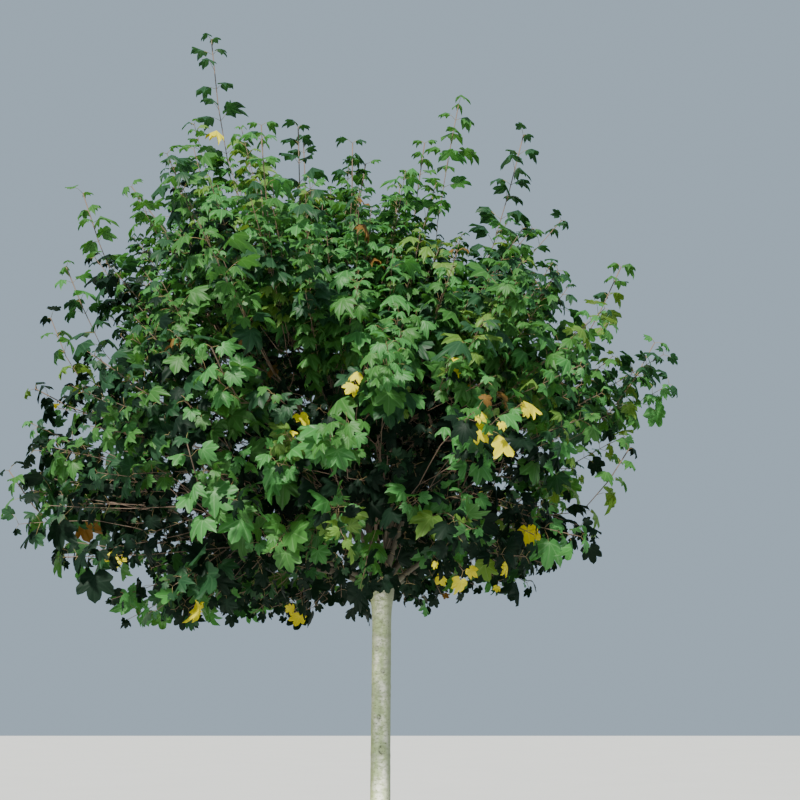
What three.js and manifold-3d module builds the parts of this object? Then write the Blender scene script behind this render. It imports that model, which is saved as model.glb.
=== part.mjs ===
// Globe maple: a young standard tree with one clear trunk, a graft head at its top, and boughs
// that spread from the head to the masses of foliage of a broad, flat-bottomed round crown.
// Millimetres. The origin is the centre of the flat cut under the trunk, +Z is up, the viewer
// stands on the -Y side, and +X is to the viewer's right.

import * as THREE from "three";
import { mergeVertices } from "three/addons/utils/BufferGeometryUtils.js";
import Module from "manifold-3d";

// Trunk
const TRUNK_TOP = 2250; // top of the graft head
const TRUNK_RADIUS = 45; // under the graft
const TRUNK_TAPER = 6; // more at the foot than under the graft
const FLARE_RADIUS = 34; // added by the root flare at the ground
const FLARE_HEIGHT = 90; // the flare fades by a factor e over this
const FLARE_LOBES = 5;
const FLARE_LOBE_DEPTH = 13;
const FLARE_TURN = 0.7; // phase of the lobes round the trunk
const TRUNK_LEAN = 0.006; // towards +X
const TRUNK_BOW = 9; // sideways sweep at half height
const GRAFT_HEIGHT = 2130;
const GRAFT_SWELL = 14;
const GRAFT_SPREAD = 85;
const DOME_HEIGHT = 95; // the head rounds over above TRUNK_TOP - DOME_HEIGHT
const DOME_ROUNDING = 0.8; // 1 would round it to a point, 0 leaves it flat
const TRUNK_SIDES = 12;
const TRUNK_RINGS = 16;
const RING_CROWDING = 0.8; // below 1: how much closer rings stand at both ends than in the middle

// Crown outline: half-widths of a rounded body, sheared so that its top falls towards the right and
// its lower half hangs a little to the left
const CROWN_CENTRE = new THREE.Vector3(-150, 0, 2890);
const CROWN_LEFT = 1580;
const CROWN_RIGHT = 1480;
const CROWN_DEPTH = 1540;
const CROWN_UP = 1270;
const CROWN_DOWN = 1010;
const CROWN_POWER = 1.95; // 2 would be an ellipsoid
const CROWN_TILT_TOP = -0.19;
const CROWN_TILT_LOW = 0.07;
const CROWN_LUMP = 0.045; // share by which each wave makes the outline swell and sink
const CROWN_WAVES = [
  { round: 3, twist: 4, start: 0 },
  { round: 5, twist: -6, start: 1 },
];
const LOWEST_SLOPE = -0.72; // no shoot points down more steeply: the space round the trunk is open

// Rings of foliage masses round the crown's axis, with the radii of the boughs that carry them
const RINGS = [
  { name: "skirt", count: 7, radius: 1080, height: 2550, tilt: 0.07, turn: 0.35, base: 17, tip: 9.5 },
  { name: "shoulder", count: 6, radius: 930, height: 3240, tilt: -0.08, turn: 0.1, base: 16, tip: 9 },
  { name: "top", count: 4, radius: 470, height: 3780, tilt: -0.19, turn: 0.9, base: 14, tip: 8.5 },
];
const HEAD_LEVEL = { skirt: 2120, shoulder: 2172, top: 2215 }; // where each ring's boughs leave the head
const HEAD_SINK = 26; // depth of a bough's root inside the head's surface
const BOUGH_RISE = { skirt: 0.75, shoulder: 1.5, top: 3.2 }; // upward share of a bough's first direction
const BOUGH_PULL = 0.33; // share of its span over which a bough holds its first and last directions
const BOUGH_SIDES = 6;
const BOUGH_STEPS = 4;
const BOUGH_TAPER = 1.4; // above 1, it narrows fastest near its root
const SPACE_ENTRY = 70; // a bough ends this far inside its mass's space
const BOUGH_LEAST = 0.42; // least share of the way from the head to the mass's middle
const BOUGH_STEP = 0.01; // share of what is left that the search for a bough's end goes on by

// Twigs
const SHOOTS = 112; // leafy shoots spread over the whole outline
const SHOOT_LENGTH = 280;
const SHOOT_RISE = 0.37; // how much shoots turn up, the more the higher they stand
const SHOOT_SPREAD = 130; // how far a shoot's tip may stand out of the outline or stay inside it
const TWIG_TIP_RADIUS = 4;
const TWIG_POWER = 0.42; // radius grows with the number of shoots carried, to this power
const SHOOT_BASE = 1.3; // radius of a shoot at its foot, in tip radii
const TWIG_SHARE = 0.7; // a side twig is no thicker than this share of its parent
const TWIG_TAPER = 0.95; // from one fork to the next, at most
const TWIG_SIDES = 3;
const TWIG_SINK = 0.6; // a twig's root is this share of its parent's radius behind the fork
const STEM_SIDES = 5;
const FORK_REACH = 0.36; // share of the way to the shoots left that a twig goes before it forks
const SEED = 4217;
const SEED_STEP = 131; // from one mass to the next

// Leaves: each stands for a spray of the real, smaller ones
const LEAF_LENGTH = 330;
const LEAF_HALF_THICKNESS = 3;
const LEAF_PAIR_STEP = 130; // between one pair and the next along a shoot
const LEAF_PAIRS = 2;
const FIRST_PAIR = 0.35; // from the shoot's tip, in pair steps
const END_LEAF_SCALE = 0.75;
const LEAF_LEAST = 0.85; // a leaf's length varies from this share up
const LEAF_RANGE = 0.25;
const LEAF_LEAN = 0.45; // how much a pair leans towards the shoot's tip
const LEAF_SPREAD = 0.3; // how much it turns out of the crown
const LEAF_SAG = 0.2; // how much every leaf hangs
const LEAF_INSET = 160; // shoot tips stay this far inside the outline, to leave room for leaves
const LEAF_TURNS = [0, 0.4, -0.4, 0.8, -0.8, 1.2, -1.2]; // other headings tried for a leaf with no room
// A leaf's outline from its tip to its root: across and along, as shares of its length
const LEAF_TIP = [0, 1];
const LEAF_NOTCH = [0.22, 0.57];
const LEAF_LOBE = [0.54, 0.5];
const LEAF_ROOT = [0, -0.003];
const LEAF_CENTRE = 0.16; // where the blade is thickest
const LEAF_CURL = 0.16; // fall of its tip, as a share of its length
const LOBE_CURL = 0.13; // the same for its sides

// Clearances
const TOUCH_GAP = 0.3; // between a bough and the head or the stem that it meets
const SPACE_GAP = 4; // from a leaf or twig to the edge of its mass's space
const SHOOT_ROOM = 25; // from the ends of a shoot to that edge
const DRAW_STEP = 0.05; // share of the way to the mass's middle by which an end is drawn in
const LIMB_GAP = 1.5; // from a leaf or twig to any limb
const LEAF_CLEAR = 15; // past this distance from its root, a leaf touches no twig
const MERGE_DISTANCE = 1e-3;

// Tall shoots that stand clear of the crown: tip and length, from left to right as the viewer
// sees them. The same ones, turned about the crown's axis, finish its sides and back.
const LEADERS = [
  { tip: [-1800, -100, 2690], length: 450 },
  { tip: [-1720, 0, 3120], length: 430 },
  { tip: [-1610, -200, 3430], length: 430 },
  { tip: [-1570, -100, 3720], length: 480 },
  { tip: [-1505, -100, 4110], length: 600 },
  { tip: [-1300, 100, 4220], length: 480 },
  { tip: [-870, -150, 4920], length: 760 },
  { tip: [-630, 100, 4560], length: 540 },
  { tip: [-400, 0, 4440], length: 460 },
  { tip: [-70, -300, 4190], length: 420 },
  { tip: [230, 150, 4480], length: 520 },
  { tip: [395, -200, 4540], length: 620 },
  { tip: [730, -100, 4420], length: 640 },
  { tip: [960, 0, 4010], length: 480 },
  { tip: [1190, -200, 3690], length: 480 },
  { tip: [1360, -100, 3330], length: 440 },
  { tip: [1200, -200, 2780], length: 380 },
];
const LEADER_FAN = new THREE.Vector3(-250, 0, 900); // the point below that they lean away from
const LEADER_TURNS = [1.25, -1.9]; // turned copies
const LEADER_COPY_STEP = 3; // every third one is copied, from the second on
const LEADER_COPY_HEIGHT = 0.95;
const LEADER_LEAF_SCALE = 0.62; // leaves on these shoots are smaller
const LEADER_PAIR_STEP = 190;

const wasm = await Module();
wasm.setup();

const UP = new THREE.Vector3(0, 0, 1);
const LIMB_SIDE = new THREE.Vector3(0.31, 0.27, -0.6); // no bough runs along it
const vector = (x, y, z) => new THREE.Vector3(x, y, z);
const fromTo = (a, b) => b.clone().sub(a);
const cross = (a, b) => new THREE.Vector3().crossVectors(a, b).normalize();

// The same numbers from the same seed, each time
function seeded(seed) {
  let state = seed >>> 0;
  return () => {
    state = (Math.imul(state, 1664525) + 1013904223) >>> 0;
    return state / 4294967296;
  };
}

// Solids

function solidOf(geometry) {
  const bare = geometry.clone();
  bare.deleteAttribute("normal");
  bare.deleteAttribute("uv");
  const merged = mergeVertices(bare, MERGE_DISTANCE);
  return new wasm.Manifold(
    new wasm.Mesh({
      numProp: 3,
      vertProperties: merged.attributes.position.array,
      triVerts: new Uint32Array(merged.index.array),
    }),
  );
}

function geometryOf(solid) {
  const mesh = solid.getMesh();
  return new THREE.BufferGeometry()
    .setAttribute("position", new THREE.BufferAttribute(mesh.vertProperties, 3))
    .setIndex(new THREE.BufferAttribute(mesh.triVerts, 1));
}

// The largest single body of a solid, with any hollow sealed inside it filled
function mainBody(solid) {
  return solid.decompose().reduce((a, b) => (b.volume() > a.volume() ? b : a));
}

// The frame of a limb at each of its points. It starts from a side direction and never twists.
function limbFrames(points, side) {
  const last = points.length - 1;
  return points.map((point, i) => {
    const along = fromTo(points[Math.max(i - 1, 0)], points[Math.min(i + 1, last)]).normalize();
    const over = cross(along, side);
    side = cross(over, along);
    return { point, along, side, over };
  });
}

// A limb with a ring of corners round each of its frames, closed by a flat cut at each end
function limbGeometry(frames, radii, sides) {
  const last = frames.length - 1;
  const geometry = new THREE.CylinderGeometry(1, 1, 1, sides, last);
  const position = geometry.attributes.position;
  for (let i = 0; i < position.count; i++) {
    const ring = Math.round((position.getY(i) + 0.5) * last);
    const { point, side, over } = frames[ring];
    const corner = point
      .clone()
      .addScaledVector(side, position.getX(i) * radii[ring])
      .addScaledVector(over, -position.getZ(i) * radii[ring]);
    position.setXYZ(i, corner.x, corner.y, corner.z);
  }
  return geometry;
}

// Trunk

function trunkCentre(z) {
  const bow = TRUNK_BOW * Math.sin((Math.PI * z) / TRUNK_TOP);
  return vector(TRUNK_LEAN * z, -bow, z);
}

function trunkRadius(z) {
  const taper = TRUNK_TAPER * (1 - z / TRUNK_TOP);
  const flare = FLARE_RADIUS * Math.exp(-z / FLARE_HEIGHT);
  const graft = GRAFT_SWELL * Math.exp(-(((z - GRAFT_HEIGHT) / GRAFT_SPREAD) ** 2));
  const intoDome = Math.max(0, (z - (TRUNK_TOP - DOME_HEIGHT)) / DOME_HEIGHT);
  const dome = Math.sqrt(1 - DOME_ROUNDING * intoDome ** 2);
  return (TRUNK_RADIUS + taper + flare + graft) * dome;
}

// Rings are close together in the flare and the head, and wide apart between them
function trunkHeight(share) {
  const turn = 2 * Math.PI;
  return TRUNK_TOP * (share - (RING_CROWDING * Math.sin(turn * share)) / turn);
}

function trunkGeometry(growth) {
  const geometry = new THREE.CylinderGeometry(1, 1, 1, TRUNK_SIDES, TRUNK_RINGS);
  const position = geometry.attributes.position;
  for (let i = 0; i < position.count; i++) {
    const z = trunkHeight(position.getY(i) + 0.5);
    const angle = Math.atan2(position.getX(i), position.getZ(i));
    const lobes = FLARE_LOBE_DEPTH * Math.cos(FLARE_LOBES * angle + FLARE_TURN);
    const radius = trunkRadius(z) + lobes * Math.exp(-z / FLARE_HEIGHT) + growth;
    const centre = trunkCentre(z);
    const x = centre.x + position.getX(i) * radius;
    const y = centre.y - position.getZ(i) * radius;
    position.setXYZ(i, x, y, z + (z > TRUNK_TOP - 1 ? growth : 0));
  }
  return geometry;
}

// Spaces: each mass owns the part of the crown that is nearer to its middle than to any other

function massMiddles() {
  const masses = [];
  for (const ring of RINGS)
    for (let i = 0; i < ring.count; i++) {
      const angle = 2 * Math.PI * (i / ring.count) + ring.turn;
      const x = CROWN_CENTRE.x + ring.radius * Math.cos(angle);
      const y = CROWN_CENTRE.y + ring.radius * Math.sin(angle);
      const z = ring.height + ring.tilt * (x - CROWN_CENTRE.x);
      masses.push({ ring, name: `${ring.name}_${i + 1}`, middle: vector(x, y, z), targets: [] });
    }
  return masses;
}
const MASSES = massMiddles();

function ownerOf(point) {
  const reach = (mass) => mass.middle.distanceToSquared(point);
  return MASSES.reduce((a, b) => (reach(b) < reach(a) ? b : a));
}

// Distance from a point to the nearest edge of a mass's space, negative outside it
function depthInSpace(point, mass) {
  let depth = Infinity;
  for (const other of MASSES) {
    if (other === mass) continue;
    const apart = 2 * other.middle.distanceTo(mass.middle);
    const gap = other.middle.distanceToSquared(point) - mass.middle.distanceToSquared(point);
    depth = Math.min(depth, gap / apart);
  }
  return depth;
}

function keepsToSpace(geometry, mass) {
  const position = geometry.attributes.position;
  const point = vector(0, 0, 0);
  for (let i = 0; i < position.count; i++)
    if (depthInSpace(point.fromBufferAttribute(position, i), mass) < SPACE_GAP) return false;
  return true;
}

// Boughs

function boughFrames(mass) {
  const { name } = mass.ring;
  const level = HEAD_LEVEL[name];
  const head = trunkCentre(level);
  const outward = fromTo(head, mass.middle).setZ(0).normalize();
  const start = head.clone().addScaledVector(outward, trunkRadius(level) - HEAD_SINK);
  const end = head.clone().lerp(mass.middle, BOUGH_LEAST);
  while (depthInSpace(end, mass) < SPACE_ENTRY) end.lerp(mass.middle, BOUGH_STEP);
  const span = start.distanceTo(end);
  const first = outward.clone().addScaledVector(UP, BOUGH_RISE[name]).normalize();
  const last = fromTo(end, mass.middle).normalize();
  const curve = new THREE.CubicBezierCurve3(
    start,
    start.clone().addScaledVector(first, span * BOUGH_PULL),
    end.clone().addScaledVector(last, -span * BOUGH_PULL),
    end,
  );
  return limbFrames(curve.getSpacedPoints(BOUGH_STEPS), LIMB_SIDE);
}

function boughSolid(mass, growth) {
  const { base, tip } = mass.ring;
  const radii = mass.bough.map((_, i) => {
    const left = 1 - i / BOUGH_STEPS;
    return tip + (base - tip) * left ** BOUGH_TAPER + growth;
  });
  return solidOf(limbGeometry(mass.bough, radii, BOUGH_SIDES));
}

// Shoots: where the leafy tips stand

function crownOutline(direction) {
  const half = vector(
    direction.x < 0 ? CROWN_LEFT : CROWN_RIGHT,
    CROWN_DEPTH,
    direction.z < 0 ? CROWN_DOWN : CROWN_UP,
  );
  const sum =
    Math.abs(direction.x / half.x) ** CROWN_POWER +
    Math.abs(direction.y / half.y) ** CROWN_POWER +
    Math.abs(direction.z / half.z) ** CROWN_POWER;
  const angle = Math.atan2(direction.y, direction.x);
  let waves = 0;
  for (const { round, twist, start } of CROWN_WAVES)
    waves += Math.sin(round * angle + twist * direction.z + start);
  return sum ** (-1 / CROWN_POWER) * (1 + CROWN_LUMP * waves);
}

function crownPoint(direction, reach) {
  const point = CROWN_CENTRE.clone().addScaledVector(direction, reach);
  const height = Math.min(Math.max(2 * direction.z, 0), 1);
  const tilt = CROWN_TILT_LOW + (CROWN_TILT_TOP - CROWN_TILT_LOW) * height;
  point.z += tilt * (point.x - CROWN_CENTRE.x);
  return point;
}

// Draws a point towards a mass's middle until it is well inside that mass's space
function drawIn(point, mass) {
  while (depthInSpace(point, mass) < SHOOT_ROOM) point.lerp(mass.middle, DRAW_STEP);
  return point;
}

// A shoot goes to the mass that owns its tip
function addTarget(tip, heading, length, leader) {
  const mass = ownerOf(tip);
  drawIn(tip, mass);
  const foot = drawIn(tip.clone().addScaledVector(heading, -length), mass);
  mass.targets.push({ tip, foot, leader });
}

function addShoots() {
  const random = seeded(SEED);
  const golden = Math.PI * (3 - Math.sqrt(5));
  for (let i = 0; i < SHOOTS; i++) {
    const z = 1 - (2 * (i + 0.5)) / SHOOTS;
    const stretch = (random() - 0.5) * SHOOT_SPREAD;
    if (z < LOWEST_SLOPE) continue;
    const flat = Math.sqrt(1 - z * z);
    const direction = vector(flat * Math.cos(golden * i), flat * Math.sin(golden * i), z);
    const tip = crownPoint(direction, crownOutline(direction) - LEAF_INSET + stretch);
    const outward = fromTo(CROWN_CENTRE, tip).normalize();
    const heading = outward.addScaledVector(UP, SHOOT_RISE * (1 + z)).normalize();
    addTarget(tip, heading, SHOOT_LENGTH, false);
  }
}

function addLeaders() {
  const axis = CROWN_CENTRE.clone().setZ(0);
  for (const turn of [0, ...LEADER_TURNS])
    LEADERS.forEach((leader, i) => {
      if (turn !== 0 && i % LEADER_COPY_STEP !== 1) return;
      const tip = vector(...leader.tip).sub(axis).applyAxisAngle(UP, turn).add(axis);
      if (turn !== 0) tip.z *= LEADER_COPY_HEIGHT;
      addTarget(tip, fromTo(LEADER_FAN, tip).normalize(), leader.length, true);
    });
}

// Leaves

const mirrored = ([across, along]) => [-across, along];
const LEAF_RIM = [LEAF_TIP, LEAF_NOTCH, LEAF_LOBE, LEAF_ROOT, mirrored(LEAF_LOBE), mirrored(LEAF_NOTCH)];

// A thin lobed blade, thickest in the middle. It lies along +Z, with its face to +Y.
function leafGeometry(length) {
  const geometry = new THREE.ConeGeometry(1, 1, LEAF_RIM.length);
  const position = geometry.attributes.position;
  for (let i = 0; i < position.count; i++) {
    const [x, y, z] = [position.getX(i), position.getY(i), position.getZ(i)];
    const turn = Math.atan2(x, z) / (2 * Math.PI);
    const rim = LEAF_RIM[(Math.round(turn * LEAF_RIM.length) + LEAF_RIM.length) % LEAF_RIM.length];
    const onRim = Math.hypot(x, z) > 0.5;
    const [across, along] = onRim ? rim : [0, LEAF_CENTRE];
    const fall = (LEAF_CURL * along * along + LOBE_CURL * across * across) * length;
    const lift = onRim ? 0 : Math.sign(y) * LEAF_HALF_THICKNESS;
    position.setXYZ(i, across * length, lift - fall, along * length);
  }
  return geometry;
}

// A leaf on its twig: it grows along its heading and turns its face to the light
function placedLeaf(root, heading, light, length) {
  const across = cross(light, heading);
  const frame = new THREE.Matrix4().makeBasis(across, cross(heading, across), heading);
  return leafGeometry(length).applyMatrix4(frame.setPosition(root));
}

// Growth of one mass from the stem that meets its bough

class Growth {
  constructor(mass, limbs) {
    this.mass = mass;
    this.limbs = limbs;
    this.wood = wasm.Manifold.union([]);
    this.blades = wasm.Manifold.union([]);
    this.waiting = [];
    this.random = seeded(SEED + MASSES.indexOf(mass) * SEED_STEP);
  }

  // The first twig, the stem, faces the flat end of the bough
  grow() {
    const { bough, ring, targets } = this.mass;
    const end = bough.at(-1);
    const point = end.point.clone().addScaledVector(end.along, TOUCH_GAP);
    this.addAxis({ ...end, point, radius: ring.tip }, targets);
    this.waiting.forEach((shoot) => this.addLeaves(shoot));
    return mainBody(this.wood.add(this.blades));
  }

  // One twig from a fork to the tip of a shoot. At each of its forks it goes on towards one half of
  // the shoots that are left, and a twig of the next order leaves it for the other half.
  addAxis(fork, targets) {
    const stem = this.wood.isEmpty();
    const sunk = stem ? 0 : fork.radius * TWIG_SINK;
    const points = [fork.point.clone().addScaledVector(fork.along, -sunk)];
    const radii = [stem ? fork.radius : Math.min(twigRadius(targets.length), fork.radius * TWIG_SHARE)];
    const turnings = [];
    let rest = targets;
    let { point, along } = fork;
    while (rest.length > 1) {
      const end = point.clone().lerp(middleOf(rest), FORK_REACH);
      along = along.clone().add(fromTo(point, end).normalize()).normalize();
      const [kept, turned] = halves(rest, end, along);
      points.push(end);
      radii.push(Math.min(radii.at(-1) * TWIG_TAPER, twigRadius(rest.length)));
      turnings.push(turned);
      rest = kept;
      point = end;
    }
    const [shoot] = rest;
    points.push(shoot.foot, shoot.tip);
    radii.push(Math.min(radii.at(-1), TWIG_TIP_RADIUS * SHOOT_BASE), TWIG_TIP_RADIUS);
    const frames = limbFrames(points, fork.side);
    if (stem) frames[0] = fork;
    if (!this.addWood(limbGeometry(frames, radii, stem ? STEM_SIDES : TWIG_SIDES))) return;
    this.waiting.push(shoot);
    turnings.forEach((turned, i) => this.addAxis({ ...frames[i + 1], radius: radii[i + 1] }, turned));
  }

  // Adds a twig unless it leaves the mass's space or touches a limb
  addWood(geometry) {
    const twig = solidOf(geometry);
    if (!keepsToSpace(geometry, this.mass) || !twig.intersect(this.limbs).isEmpty()) return false;
    this.wood = this.wood.add(twig);
    return true;
  }

  // Opposite pairs of leaves down a shoot, each pair turned a quarter from the last, and one at the tip
  addLeaves({ tip, foot, leader }) {
    const along = fromTo(foot, tip).normalize();
    const step = leader ? LEADER_PAIR_STEP : LEAF_PAIR_STEP;
    const size = LEAF_LENGTH * (leader ? LEADER_LEAF_SCALE : 1);
    const pairs = leader ? Math.floor(foot.distanceTo(tip) / step) : LEAF_PAIRS;
    const outward = fromTo(CROWN_CENTRE, tip).normalize();
    const light = outward.clone().add(UP).normalize();
    const side = cross(along, UP);
    const first = this.random() * Math.PI;
    const onward = along.clone().addScaledVector(UP, -LEAF_SAG).normalize();
    this.addLeaf(tip, onward, light, size * END_LEAF_SCALE, along);
    for (let pair = 0; pair < pairs; pair++) {
      const root = tip.clone().addScaledVector(along, -step * (pair + FIRST_PAIR));
      const length = size * (LEAF_LEAST + LEAF_RANGE * this.random());
      for (const opposite of [0, Math.PI]) {
        const across = side.clone().applyAxisAngle(along, first + (pair * Math.PI) / 2 + opposite);
        const heading = across.addScaledVector(along, LEAF_LEAN).addScaledVector(outward, LEAF_SPREAD);
        this.addLeaf(root, heading.addScaledVector(UP, -LEAF_SAG).normalize(), light, length, along);
      }
    }
  }

  // Adds a leaf with the first heading that keeps it in the space, and off limbs, other leaves and,
  // past its root, off twigs
  addLeaf(root, heading, light, length, axis) {
    for (const turn of LEAF_TURNS) {
      const turned = heading.clone().applyAxisAngle(axis, turn);
      const geometry = placedLeaf(root, turned, light, length);
      if (!keepsToSpace(geometry, this.mass)) continue;
      const leaf = solidOf(geometry);
      const pastRoot = solidOf(geometry.clone().translate(...turned.multiplyScalar(LEAF_CLEAR)));
      const touches = (solid, other) => !solid.intersect(other).isEmpty();
      if (touches(leaf, this.limbs) || touches(leaf, this.blades) || touches(pastRoot, this.wood)) continue;
      this.blades = this.blades.add(leaf);
      return;
    }
  }
}

// Radius of a twig that carries a number of shoots
function twigRadius(count) {
  return TWIG_TIP_RADIUS * count ** TWIG_POWER;
}

// Splits shoots in two, across the heading where they spread the most; the half that lies more
// nearly straight on comes first
function halves(targets, fork, along) {
  const side = cross(along, UP);
  const over = cross(side, along);
  const spread = (axis) => {
    const reach = targets.map((target) => target.foot.dot(axis));
    return Math.max(...reach) - Math.min(...reach);
  };
  const axis = spread(side) > spread(over) ? side : over;
  const sorted = [...targets].sort((a, b) => a.foot.dot(axis) - b.foot.dot(axis));
  const half = Math.ceil(sorted.length / 2);
  const straight = (part) => fromTo(fork, middleOf(part)).normalize().dot(along);
  return [sorted.slice(0, half), sorted.slice(half)].sort((a, b) => straight(b) - straight(a));
}

function middleOf(targets) {
  const middle = vector(0, 0, 0);
  targets.forEach((target) => middle.addScaledVector(target.foot, 1 / targets.length));
  return middle;
}

// The tree

const bark = new THREE.MeshStandardMaterial({ color: 0xa39a84, roughness: 0.85, metalness: 0 });
const youngBark = new THREE.MeshStandardMaterial({ color: 0x8a7560, roughness: 0.8, metalness: 0 });
const foliage = new THREE.MeshStandardMaterial({ color: 0x3c6a2c, roughness: 0.55, metalness: 0 });

const tree = new THREE.Group();

function addNode(name, solid, material) {
  const mesh = new THREE.Mesh(geometryOf(solid), material);
  mesh.name = name;
  tree.add(mesh);
}

for (const mass of MASSES) mass.bough = boughFrames(mass);
addShoots();
addLeaders();

addNode("trunk", solidOf(trunkGeometry(0)), bark);
const headCut = solidOf(trunkGeometry(TOUCH_GAP));
for (const mass of MASSES)
  addNode(`bough_${mass.name}`, mainBody(boughSolid(mass, 0).subtract(headCut)), youngBark);

// The trunk and boughs, a little swollen, that no leaf or twig may touch
const limbs = wasm.Manifold.union([
  solidOf(trunkGeometry(LIMB_GAP)),
  ...MASSES.map((mass) => boughSolid(mass, LIMB_GAP)),
]);
for (const mass of MASSES) addNode(`foliage_${mass.name}`, new Growth(mass, limbs).grow(), foliage);

export default tree;
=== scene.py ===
# Globe maple: a young tree grown as a standard, in late summer, with its first few turned leaves.
# Metres. The origin is the centre of the flat cut under the trunk, +Z is up, and the camera
# stands on the -Y side.
import math
import random

import bpy
import numpy as np
from mathutils import Matrix, Vector, noise
from mathutils.geometry import interpolate_bezier


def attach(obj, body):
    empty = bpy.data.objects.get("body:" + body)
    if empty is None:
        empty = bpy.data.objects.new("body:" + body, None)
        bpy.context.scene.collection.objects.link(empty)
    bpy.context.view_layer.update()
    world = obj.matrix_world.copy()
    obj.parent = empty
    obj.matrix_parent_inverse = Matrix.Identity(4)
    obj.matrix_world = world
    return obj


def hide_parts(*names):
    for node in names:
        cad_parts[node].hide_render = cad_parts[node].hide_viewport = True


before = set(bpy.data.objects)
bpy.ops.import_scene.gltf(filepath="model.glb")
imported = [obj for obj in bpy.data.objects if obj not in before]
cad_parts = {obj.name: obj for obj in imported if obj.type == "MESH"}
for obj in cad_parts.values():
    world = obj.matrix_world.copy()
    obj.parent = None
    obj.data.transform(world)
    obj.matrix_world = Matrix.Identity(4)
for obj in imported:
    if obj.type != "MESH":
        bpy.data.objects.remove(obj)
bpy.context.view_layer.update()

SEED = 4217
UP = Vector((0, 0, 1))
GOLDEN_TURN = math.pi * (3 - math.sqrt(5))

# Trunk, the same as the solid's
TRUNK_TOP = 2.25
TRUNK_RADIUS = 0.045
TRUNK_TAPER = 0.006
FLARE_RADIUS = 0.034
FLARE_HEIGHT = 0.09
FLARE_LOBES = 5
FLARE_LOBE_DEPTH = 0.013
FLARE_TURN = 0.7
TRUNK_LEAN = 0.006
TRUNK_BOW = 0.009
GRAFT_HEIGHT = 2.13
GRAFT_SWELL = 0.014
GRAFT_SPREAD = 0.085
DOME_HEIGHT = 0.095
DOME_ROUNDING = 0.8
TRUNK_SIDES = 40
TRUNK_RINGS = 160
ROOT_DEPTH = 0.02  # below the ground before the flat cut is made

# Crown outline, the same as the solids'
CROWN_CENTRE = Vector((-0.15, 0, 2.89))
CROWN_LEFT = 1.58
CROWN_RIGHT = 1.48
CROWN_DEPTH = 1.54
CROWN_UP = 1.27
CROWN_DOWN = 1.01
CROWN_POWER = 1.95
CROWN_TILT_TOP = -0.19
CROWN_TILT_LOW = 0.07
TILT_CHANGE = (0, 0.5)  # slope at which the tilt starts to change, and how much further it has
CROWN_LUMP = 0.045
CROWN_WAVES = [(3, 4, 0), (5, -6, 1)]  # turns, twist and start of each wave round the outline
LOWEST_SLOPE = -0.72

# Rings of foliage masses, with the boughs that carry them
RINGS = [
    {"name": "skirt", "count": 7, "radius": 1.08, "height": 2.55, "tilt": 0.07, "turn": 0.35,
     "base": 0.017, "tip": 0.0095, "level": 2.12, "rise": 0.75},
    {"name": "shoulder", "count": 6, "radius": 0.93, "height": 3.24, "tilt": -0.08, "turn": 0.1,
     "base": 0.016, "tip": 0.009, "level": 2.172, "rise": 1.5},
    {"name": "top", "count": 4, "radius": 0.47, "height": 3.78, "tilt": -0.19, "turn": 0.9,
     "base": 0.014, "tip": 0.0085, "level": 2.215, "rise": 3.2},
]
HEAD_SINK = 0.026
BOUGH_PULL = 0.33
BOUGH_STEPS = 24
BOUGH_TAPER = 1.4
BOUGH_SIDES = 12
BOUGH_SIDE = Vector((0.31, 0.27, -0.6))  # no bough runs this way
SPACE_ENTRY = 0.07
BOUGH_LEAST = 0.42
BOUGH_STEP = 0.01

# Shells of shoots, from the outside in. A shoot's depth is -1 where it stands clear of the crown,
# 0 in the outer shell, and 1 or 2 further in.
SHELLS = [
    {"count": 1400, "inset": 0.16, "length": 0.36, "pairs": 4},
    {"count": 420, "inset": 0.5, "length": 0.3, "pairs": 3},
    {"count": 120, "inset": 0.85, "length": 0.3, "pairs": 2},
]
SHOOT_LENGTHS = (0.8, 1.15)  # times the shell's
SHOOT_RISE = 0.37
SHOOT_SPREAD = 0.3
SHOOT_STRAY = 0.05
SHOOT_SWAY = 0.35  # how much a shoot's heading differs from its neighbours'
SWAY_TURNS = 27
SWAY_STARTS = [Vector((5, 0, 0)), Vector((0, 13, 0)), Vector((0, 0, 29))]
TALL_SHOOT = 0.46  # the most that a single shoot stands out of the dense part
TALL_POWER = 1.7  # the higher, the fewer tall ones
TOP_PART = (-0.35, 0.6)  # slope at which the top starts, and how much further it is full
TOP_SINK = 0.23  # how far the dense part of the crown stays below the outline, at its top
TOP_CLOSENESS = 0.25  # how much closer the leaves stand at the top
CLUMPS = 8
CLUMP_DEPTH = 0.15
CLUMP_START = Vector((3.7, 1.2, 8.1))
CLUMP_GAPS = (0.13, -0.25)  # below this no shoot grows: at the underside, and what the top adds
HIGH_PART = (-0.5, 1)  # slope at which the gaps start to change, and how much further they have
OPEN_TOP = 0.7  # the share of inner shoots left out near the top
OPEN_RIGHT = 0.2  # how much wider the gaps are at the crown's thin right side
RIGHT_START = 0.3
LOW_LEFT_REACH = 0.3  # how much further the lowest shoots on the left stand out
LOW_LEFT_START = 0.55
LOW_LEFT_TOP = 0.05

# Low shoots round the graft head: they hang between the trunk and the skirt
UNDERSIDE = {"count": 80, "inner": 0.17, "outer": 0.95, "level": 2.17, "tilt": 0.12, "length": 0.26,
             "pairs": 2, "scatter": (-0.09, 0.12), "spread": 0.8, "hang": (0.2, 0.9)}

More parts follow.
